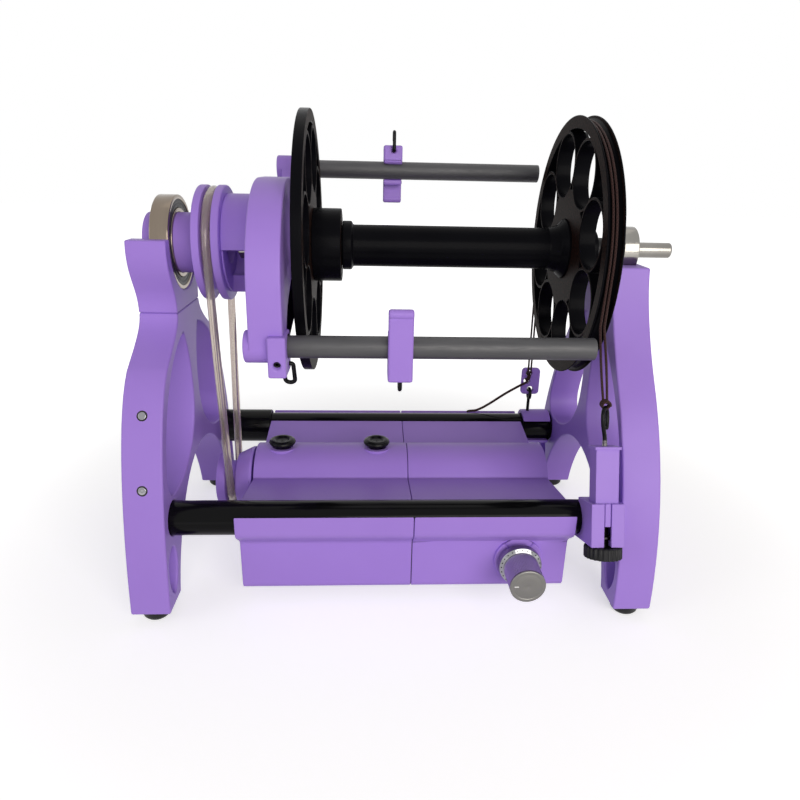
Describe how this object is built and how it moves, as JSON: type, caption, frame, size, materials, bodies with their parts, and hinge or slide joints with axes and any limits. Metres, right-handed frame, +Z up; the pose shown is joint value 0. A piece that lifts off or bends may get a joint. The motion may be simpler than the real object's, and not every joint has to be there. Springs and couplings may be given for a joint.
{
  "type": "electric spinning wheel",
  "caption": "Motor-driven yarn spinner: arched uprights on cross rods carry a belt-driven flyer with sliding hooks, a braked openwork bobbin and a motor box with a speed knob.",
  "frame": {"origin": "centre of the machine's footprint box, on the table", "axes": "+X along the flyer axis from the orifice to the free shaft end, +Y to the back, +Z up"},
  "size_m": [0.2734, 0.1688, 0.2382],
  "materials": {
    "violet_plastic": "satin violet printed plastic",
    "black_gloss": "gloss black moulded plastic",
    "black_matte": "matte black plastic",
    "black_steel": "blackened steel",
    "black_rubber": "soft black rubber",
    "steel": "ground steel",
    "bright_metal": "satin plated metal",
    "carbon": "drawn carbon-fibre tube",
    "clear_belt": "clear round polyurethane",
    "brown_cord": "braided cord",
    "board_green": "circuit board with solder mask",
    "bronze": "sintered bronze"
  },
  "bodies": {
    "root": {"left_upright": "violet_plastic", "bearing_cradle": "violet_plastic", "right_upright": "violet_plastic", "rubber_feet": "black_rubber", "front_rod": "black_matte", "rear_rod": "black_matte", "rod_screws": "black_steel", "rear_sleeve": "black_matte", "tool_magnets": "bright_metal", "motor_tray": "violet_plastic", "control_tray": "violet_plastic", "motor_cover": "violet_plastic", "control_cover": "violet_plastic", "vent_grommets": "black_rubber", "motor_can": "steel", "circuit_board": "board_green", "speed_pot": "steel", "power_inlet": "black_matte", "switch_body": "steel", "drive_belt": "clear_belt", "flyer_bearing_outer": "steel", "tail_bearing_outer": "steel", "bearing_balls": "steel", "bearing_seals": "black_rubber", "tension_bracket": "violet_plastic", "anchor_clip": "violet_plastic", "anchor_hook": "black_matte", "cord_toggle": "violet_plastic", "brake_cord": "brown_cord", "brake_cord_tail": "brown_cord"},
    "flyer": {"flyer_bearing_inner": "steel", "tail_bearing_inner": "steel", "orifice_tube": "violet_plastic", "drive_whorl": "violet_plastic", "flyer_hub": "violet_plastic", "flyer_yoke": "violet_plastic", "front_arm": "carbon", "rear_arm": "carbon", "flyer_shaft": "steel", "shaft_nut": "steel", "arm_set_screws": "black_steel", "yoke_hooks": "black_matte", "tail_spacer": "black_matte"},
    "bobbin": {"bobbin_front_flange": "black_gloss", "bobbin_core": "black_gloss", "bobbin_brake_flange": "black_gloss", "bobbin_bushes": "bronze"},
    "front_slider": {"front_hook_clip": "violet_plastic", "front_hook_wire": "black_matte"},
    "rear_slider": {"rear_hook_clip": "violet_plastic", "rear_hook_wire": "black_matte"},
    "motor_rotor": {"motor_shaft": "steel", "motor_pulley": "violet_plastic"},
    "speed_knob": {"speed_knob": "bright_metal"},
    "tension_screw": {"tension_screw": "black_matte"},
    "tension_slider": {"tension_slider": "violet_plastic", "brake_hook": "black_matte", "brake_cord_front": "brown_cord"},
    "direction_toggle": {"direction_toggle": "bright_metal"}
  },
  "joints": [
    {"name": "flyer_spin", "type": "hinge", "parent": "root", "child": "flyer", "pos_m": [-0.00875, 0.00442, 0.1737], "axis": [1, 0, 0], "continuous": true},
    {"name": "bobbin_spin", "type": "hinge", "parent": "flyer", "child": "bobbin", "pos_m": [-0.00875, 0.00442, 0.1737], "axis": [1, 0, 0], "continuous": true},
    {"name": "motor_spin", "type": "hinge", "parent": "root", "child": "motor_rotor", "pos_m": [-0.09, 0.00442, 0.0392], "axis": [1, 0, 0], "continuous": true},
    {"name": "front_hook_slide", "type": "slide", "parent": "flyer", "child": "front_slider", "axis": [1, 0, 0], "range_m": [-0.04, 0.08]},
    {"name": "rear_hook_slide", "type": "slide", "parent": "flyer", "child": "rear_slider", "axis": [1, 0, 0], "range_m": [-0.04, 0.08]},
    {"name": "knob_turn", "type": "hinge", "parent": "root", "child": "speed_knob", "pos_m": [0.05425, -0.06208, 0.0247], "axis": [0, -1, 0], "range_deg": [-150, 150]},
    {"name": "thumbscrew_turn", "type": "hinge", "parent": "root", "child": "tension_screw", "pos_m": [0.09085, -0.0707, 0.05311], "axis": [0, 0.309, 0.9511], "range_deg": [-1441, 1441]},
    {"name": "tension_slide", "type": "slide", "parent": "root", "child": "tension_slider", "axis": [0, 0.309, 0.9511], "range_m": [-0.004, 0.004], "deforming": ["brake_cord_front"]},
    {"name": "direction_switch", "type": "hinge", "parent": "root", "child": "direction_toggle", "pos_m": [0.02175, 0.06742, 0.0232], "axis": [0, 0, 1], "range_deg": [-14, 14]}
  ],
  "couplings": [
    {"joint": "motor_spin", "follows": "flyer_spin", "ratio": 2},
    {"joint": "thumbscrew_turn", "follows": "tension_slide", "rad_per_m": 6283.2}
  ]
}
